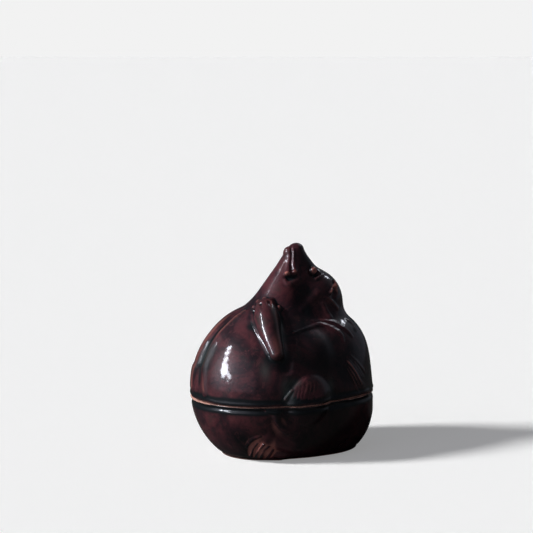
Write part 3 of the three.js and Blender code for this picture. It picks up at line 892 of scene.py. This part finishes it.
def ramp(tree, share, tones):
    """A tone for each share, between places on a ramp with a display colour at each."""
    made = node(tree, "ShaderNodeValToRGB")
    while len(made.color_ramp.elements) < len(tones):
        made.color_ramp.elements.new(0.5)
    for element, (at, rgb) in zip(made.color_ramp.elements, tones):
        element.position = at
        element.color = colour(*rgb)
    feed(tree, share, made.inputs["Fac"])
    return made.outputs["Color"]


def mix(tree, share, under, over):
    made = node(tree, "ShaderNodeMix", data_type="RGBA")
    feed(tree, share, made.inputs[0])
    feed(tree, under, made.inputs[6])
    feed(tree, over, made.inputs[7])
    return made.outputs[2]


def maths(tree, operation, a, b):
    made = node(tree, "ShaderNodeMath", operation=operation)
    feed(tree, a, made.inputs[0])
    feed(tree, b, made.inputs[1])
    return made.outputs["Value"]


def spread(tree, value, low, high):
    """0 at a low value and 1 at a high one, with a smooth step between."""
    made = node(tree, "ShaderNodeMapRange", interpolation_type="SMOOTHSTEP")
    feed(tree, value, made.inputs["Value"])
    made.inputs["From Min"].default_value = low
    made.inputs["From Max"].default_value = high
    return made.outputs["Result"]


# Glaze

# Tones as display colours. The clouds and the clay have several, each at its place on a ramp.
CLOUDS = ((0.34, (20, 16, 22)), (0.46, (50, 28, 35)), (0.57, (82, 42, 48)), (0.70, (50, 44, 42)))
CLAY = ((0.3, (150, 108, 96)), (0.7, (212, 168, 156)))
VEIL = (30, 33, 36)
ROSY = (104, 58, 62)
INKY = (18, 20, 26)
# the tone of the painted shade and of the glaze that fired nearly black
SHADE_AND_BLACK_GLAZE_TONE = (13, 8, 8)
# also made paler as painted light on the toes, which lie in shade
THIN_GLAZE_AND_TOE_LIGHT = (168, 106, 98)  # where it ran thin over an edge
POOLED = (16, 21, 25)
# also the painted reflection of the window beside the knee
GREY_GREEN = (74, 84, 82)

# Noises: scale, detail, roughness and distortion.
CLOUD_NOISE = (55, 5, 0.62, 0.9)
STREAK_NOISE = (140, 4, 0.6, 1.6)
MOTTLE_NOISE = (300, 5, 0.65, 1.2)
CLAY_NOISE = (900, 4, 0.7, 0.0)

# Unevenness of the fired surface, from broad to fine: such a noise, a strength, and a depth in metres.
BUMPS = (
    ((120, 3, 0.5, 0.0), 0.3, 0.0006),
    ((420, 3, 0.55, 0.6), 0.14, 0.00016),
    ((1500, 2, 0.5, 0.0), 0.12, 0.0001),
)

GLAZE_ROUGHNESS = 0.42
CLAY_ROUGHNESS = 0.75
COAT_ROUGHNESS = 0.08
GLASS_IOR = 1.5
SPECULAR = 0.22


def glaze_tone(tree):
    """Maroon, clouded with near black and grey green, with painted shade and glaze fired nearly black, thin
    glaze that is paler on the toes as painted light, deep pools, and milky glaze with a painted reflection
    beside the knee.
    """
    streaks = noise(tree, *STREAK_NOISE)
    mottle = noise(tree, *MOTTLE_NOISE)
    washes = (
        (maths(tree, "MULTIPLY", spread(tree, streaks, 0.52, 0.68), 0.55), VEIL),
        (maths(tree, "MULTIPLY", spread(tree, mottle, 0.54, 0.72), 0.5), ROSY),
        (maths(tree, "MULTIPLY", spread(tree, mottle, 0.46, 0.32), 0.6), INKY),
        # painted shade, with glaze that fired nearly black
        (maths(tree, "MULTIPLY", layer(tree, "shade_and_black_glaze"), 0.92), SHADE_AND_BLACK_GLAZE_TONE),
        # thin glaze, and painted light on the toes
        (spread(tree, layer(tree, "thin_and_toe_light"), 0.3, 1.4), THIN_GLAZE_AND_TOE_LIGHT),
        (spread(tree, layer(tree, "deep"), 0.15, 1.0), POOLED),
        # milky glaze, and a painted reflection beside the knee
        (layer(tree, "milky_and_reflection"), GREY_GREEN),
    )
    tone = ramp(tree, noise(tree, *CLOUD_NOISE), CLOUDS)
    for share, rgb in washes:
        tone = mix(tree, share, tone, colour(*rgb))
    return tone


def shine(tree, shader, clay):
    """Roughness and a clear coat, which the clay lacks and the satin places mostly lack."""
    rough = node(tree, "ShaderNodeMapRange")
    feed(tree, clay, rough.inputs["Value"])
    rough.inputs["To Min"].default_value = GLAZE_ROUGHNESS
    rough.inputs["To Max"].default_value = CLAY_ROUGHNESS
    feed(tree, rough.outputs["Result"], shader.inputs["Roughness"])
    uncoated = maths(tree, "MAXIMUM", clay, layer(tree, "satin"))
    feed(tree, maths(tree, "SUBTRACT", 1.0, uncoated), shader.inputs["Coat Weight"])
    shader.inputs["Coat Roughness"].default_value = COAT_ROUGHNESS
    shader.inputs["IOR"].default_value = GLASS_IOR
    shader.inputs["Specular IOR Level"].default_value = SPECULAR


def unevenness(tree):
    """The way the surface faces after each bump has tilted what the one before it left."""
    facing = None
    for texture, strength, depth in BUMPS:
        bump = node(tree, "ShaderNodeBump")
        bump.inputs["Strength"].default_value = strength
        bump.inputs["Distance"].default_value = depth
        feed(tree, noise(tree, *texture), bump.inputs["Height"])
        if facing is not None:
            feed(tree, facing, bump.inputs["Normal"])
        facing = bump.outputs["Normal"]
    return facing


def make_glaze():
    material = bpy.data.materials.new("glaze")
    material.use_nodes = True
    tree = material.node_tree
    shader = tree.nodes["Principled BSDF"]
    clay = layer(tree, "clay")
    clay_tone = ramp(tree, noise(tree, *CLAY_NOISE), CLAY)
    feed(tree, mix(tree, clay, glaze_tone(tree), clay_tone), shader.inputs["Base Color"])
    shine(tree, shader, clay)
    facing = unevenness(tree)
    feed(tree, facing, shader.inputs["Normal"])
    feed(tree, facing, shader.inputs["Coat Normal"])
    return material


glaze = make_glaze()
for shown in (lid, box):
    shown.data.materials.append(glaze)


# Floor, light and camera

FLOOR_HALF = 40.0

# Greys of the paper for the camera, for the light it lends and for its mirror image, and its glow for
# the camera.
PAPER_SEEN = 0.8
PAPER_LENT = 0.22
PAPER_MIRRORED = 0.04
FLOOR_FILL = 0.262


def grey(value):
    return (value, value, value, 1)


def seen_and_lent(tree, seen, lent, mirrored):
    """A grey for what the camera sees of the paper, for the light it lends, and for its mirror image."""
    path = node(tree, "ShaderNodeLightPath")
    outside = mix(tree, path.outputs["Is Glossy Ray"], grey(lent), grey(mirrored))
    return mix(tree, path.outputs["Is Camera Ray"], outside, grey(seen))


def make_paper():
    material = bpy.data.materials.new("paper")
    material.use_nodes = True
    tree = material.node_tree
    shader = tree.nodes["Principled BSDF"]
    shader.inputs["Roughness"].default_value = 1.0
    shader.inputs["Specular IOR Level"].default_value = 0.0
    shader.inputs["Emission Strength"].default_value = 1.0
    feed(tree, seen_and_lent(tree, PAPER_SEEN, PAPER_LENT, PAPER_MIRRORED), shader.inputs["Base Color"])
    feed(tree, seen_and_lent(tree, FLOOR_FILL, 0, 0), shader.inputs["Emission Color"])
    return material


def make_floor():
    corners = [(x * FLOOR_HALF, y * FLOOR_HALF, 0) for x, y in ((-1, -1), (1, -1), (1, 1), (-1, 1))]
    mesh = bpy.data.meshes.new("floor")
    mesh.from_pydata(corners, [], [(0, 1, 2, 3)])
    floor = bpy.data.objects.new("floor", mesh)
    bpy.context.scene.collection.objects.link(floor)
    floor.data.materials.append(make_paper())


# The photograph's view, in degrees, metres and pixels. It was fitted by measurement to the seam,
# the base and the outline, from a distance that is assumed.
PICTURE = 533
AZIMUTH = -30.0
PITCH = 7.4
DISTANCE = 0.62
PIXEL = 0.0003626  # metres to a pixel at that distance
SENSOR = 36
NEAREST = 0.01
FURTHEST = 20
AIM_HEIGHT = 20.0  # of the point on the figure's upright axis that AIM_PIXEL shows
AIM_PIXEL = (282.0, 394.2)


def camera_axes():
    """The camera's ways forward, to the right and up."""
    a = np.radians(AZIMUTH)
    e = np.radians(PITCH)
    forward = -np.array([np.sin(a) * np.cos(e), -np.cos(a) * np.cos(e), np.sin(e)])
    right = np.cross(forward, (0, 0, 1))
    right /= np.linalg.norm(right)
    return forward, right, np.cross(right, forward)


def make_camera():
    forward, right, up = camera_axes()
    across = (AIM_PIXEL[0] - PICTURE / 2) * PIXEL / DISTANCE
    down = (AIM_PIXEL[1] - PICTURE / 2) * PIXEL / DISTANCE
    ray = forward + across * right - down * up
    ray /= np.linalg.norm(ray)
    aim = np.array([0, 0, AIM_HEIGHT * unit]) + shift
    data = bpy.data.cameras.new("camera")
    data.sensor_width = SENSOR
    data.lens = SENSOR * DISTANCE / (PICTURE * PIXEL)
    data.clip_start = NEAREST
    data.clip_end = FURTHEST
    camera = bpy.data.objects.new("camera", data)
    bpy.context.scene.collection.objects.link(camera)
    camera.location = aim - DISTANCE * ray
    camera.rotation_euler = Vector(forward).to_track_quat("-Z", "Y").to_euler()
    bpy.context.scene.camera = camera


def light_way(round_by, up_by):
    """The way to a light, given as degrees round from the camera's right and degrees up."""
    forward, right, _ = camera_axes()
    flat = np.array([forward[0], forward[1], 0]) / np.linalg.norm(forward[:2])
    turn = np.radians(round_by)
    up = np.radians(up_by)
    return np.cos(up) * (np.cos(turn) * right - np.sin(turn) * flat) + np.sin(up) * np.array([0, 0, 1])


def soft_sun(name, round_by, up_by, angle, strength, tint):
    data = bpy.data.lights.new(name, "SUN")
    data.angle = np.radians(angle)
    data.energy = strength
    data.color = tint
    lamp = bpy.data.objects.new(name, data)
    bpy.context.scene.collection.objects.link(lamp)
    lamp.rotation_euler = Vector(-light_way(round_by, up_by)).to_track_quat("-Z", "Y").to_euler()
    return lamp


# The key light: degrees round from the camera's right, degrees up, its width in degrees, strength and tint.
KEY = (167, 32, 12, 4.15, (1.0, 1.0, 0.99))

WINDOW_TINT = (0.86, 0.9, 1.0)

# What the glaze mirrors, a tall window to the left and a small one behind to the right: lines from one place
# to another, in degrees round from the camera's right and degrees up, with how many lamps, how wide each is,
# and the strength of them all.
WINDOW = (
    ((157, 17), (164, 28), 5, 7, 1.0),
    ((143, 15), (157, 27), 5, 7, 0.8),
    ((157, 21), (163, 33), 3, 9, 0.7),
    ((166, 36), (178, 46), 3, 6, 0.8),
    ((-45, 34), (-64, 48), 4, 4, 0.28),
)

# The dim room, and its paler walls: degrees round and up, the cosine where each fades out, and its light.
DIM_ROOM = (0.03, 0.033, 0.04, 1)
WALLS = (
    (138, 14, 0.68, (0.37, 0.355, 0.43, 1)),
    (-40, 8, 0.8, (0.085, 0.09, 0.11, 1)),
)
BACKDROP = (242, 242, 242)


def make_light():
    """The key from the left, and the windows that only the glaze mirrors."""
    key = soft_sun("key", *KEY)
    key.visible_glossy = False
    for row, (start, end, count, angle, strength) in enumerate(WINDOW):
        for i in range(count):
            turn, up = np.array(start) + (np.array(end) - start) * i / (count - 1)
            lamp = soft_sun(f"window_{row}_{i}", turn, up, angle, strength / count, WINDOW_TINT)
            lamp.visible_diffuse = False


def wall_light(tree, under, round_by, up_by, fades_at, light):
    """A soft patch of light in one direction, over what is already there."""
    dot = node(tree, "ShaderNodeVectorMath", operation="DOT_PRODUCT")
    feed(tree, node(tree, "ShaderNodeTexCoord").outputs["Generated"], dot.inputs[0])
    dot.inputs[1].default_value = light_way(round_by, up_by)
    return mix(tree, spread(tree, dot.outputs["Value"], fades_at, 1.0), under, light)


def make_room():
    """A dim room with paler walls. The camera sees the paper's own tone instead."""
    world = bpy.data.worlds.new("studio")
    bpy.context.scene.world = world
    world.use_nodes = True
    tree = world.node_tree
    room = DIM_ROOM
    for wall in WALLS:
        room = wall_light(tree, room, *wall)
    by_camera = node(tree, "ShaderNodeLightPath").outputs["Is Camera Ray"]
    feed(tree, mix(tree, by_camera, room, colour(*BACKDROP)), tree.nodes["Background"].inputs["Color"])


make_room()
make_camera()
make_light()
make_floor()
bpy.context.scene.view_settings.view_transform = "Standard"
